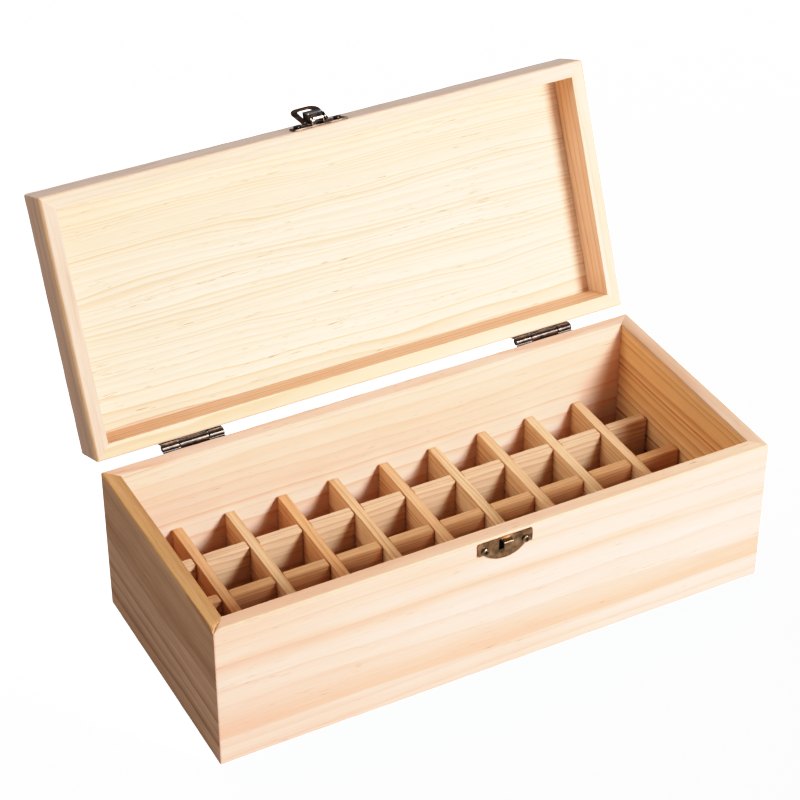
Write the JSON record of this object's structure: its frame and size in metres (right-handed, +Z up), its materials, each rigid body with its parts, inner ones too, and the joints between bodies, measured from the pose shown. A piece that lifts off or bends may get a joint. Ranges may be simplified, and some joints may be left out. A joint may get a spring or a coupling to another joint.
{
  "type": "essential oil storage box",
  "caption": "Pine box with a hinged lid, a toggle latch and a half-lapped divider lattice that keeps small bottles upright in square pockets.",
  "frame": {"origin": "centre of the box's underside, on the surface it stands on", "axes": "+X along the length, to the right as seen from the front; -Y out of the front face with the latch; +Z up"},
  "size_m": [0.3, 0.2162, 0.211],
  "materials": {
    "pine": "plain sanded pine boards, satin",
    "pine_panel": "plain sanded pine panel, satin",
    "pine_divider": "plain sawn pine strip, matte",
    "antique_bronze": "antique bronze plated steel, semi-gloss",
    "antique_bronze_screw": "antique bronze plated steel, semi-gloss"
  },
  "bodies": {
    "box": {"box_front_board": "pine", "box_back_board": "pine", "box_left_board": "pine", "box_right_board": "pine", "bottom_panel": "pine_panel", "cross_divider_1": "pine_divider", "cross_divider_2": "pine_divider", "cross_divider_3": "pine_divider", "cross_divider_4": "pine_divider", "cross_divider_5": "pine_divider", "cross_divider_6": "pine_divider", "cross_divider_7": "pine_divider", "cross_divider_8": "pine_divider", "cross_divider_9": "pine_divider", "long_divider_1": "pine_divider", "long_divider_2": "pine_divider", "long_divider_3": "pine_divider", "hinge_left_box_leaf": "antique_bronze", "hinge_left_box_screw_1": "antique_bronze_screw", "hinge_left_box_screw_2": "antique_bronze_screw", "hinge_right_box_leaf": "antique_bronze", "hinge_right_box_screw_1": "antique_bronze_screw", "hinge_right_box_screw_2": "antique_bronze_screw", "hinge_left_pin": "antique_bronze", "hinge_right_pin": "antique_bronze", "keeper_plate": "antique_bronze", "keeper_screw_left": "antique_bronze_screw", "keeper_screw_right": "antique_bronze_screw"},
    "lid": {"lid_front_rail": "pine", "lid_back_rail": "pine", "lid_left_rail": "pine", "lid_right_rail": "pine", "lid_panel": "pine_panel", "hinge_left_lid_leaf": "antique_bronze", "hinge_left_lid_screw_1": "antique_bronze_screw", "hinge_left_lid_screw_2": "antique_bronze_screw", "hinge_right_lid_leaf": "antique_bronze", "hinge_right_lid_screw_1": "antique_bronze_screw", "hinge_right_lid_screw_2": "antique_bronze_screw", "latch_base_plate": "antique_bronze", "latch_pin": "antique_bronze", "latch_screw_left": "antique_bronze_screw", "latch_screw_right": "antique_bronze_screw"},
    "latch_lever": {"latch_lever": "antique_bronze"},
    "latch_bail": {"latch_bail": "antique_bronze"}
  },
  "joints": [
    {"name": "lid_hinge", "type": "hinge", "parent": "box", "child": "lid", "pos_m": [0, 0.0688, 0.083], "axis": [1, 0, 0], "range_deg": [0, 112.7]},
    {"name": "lever_pivot", "type": "hinge", "parent": "lid", "child": "latch_lever", "pos_m": [0, 0.12845, 0.2085], "axis": [1, 0, 0], "range_deg": [0, 165]},
    {"name": "bail_pivot", "type": "hinge", "parent": "latch_lever", "child": "latch_bail", "pos_m": [0, 0.13068, 0.20605], "axis": [1, 0, 0], "range_deg": [0, 160]}
  ]
}
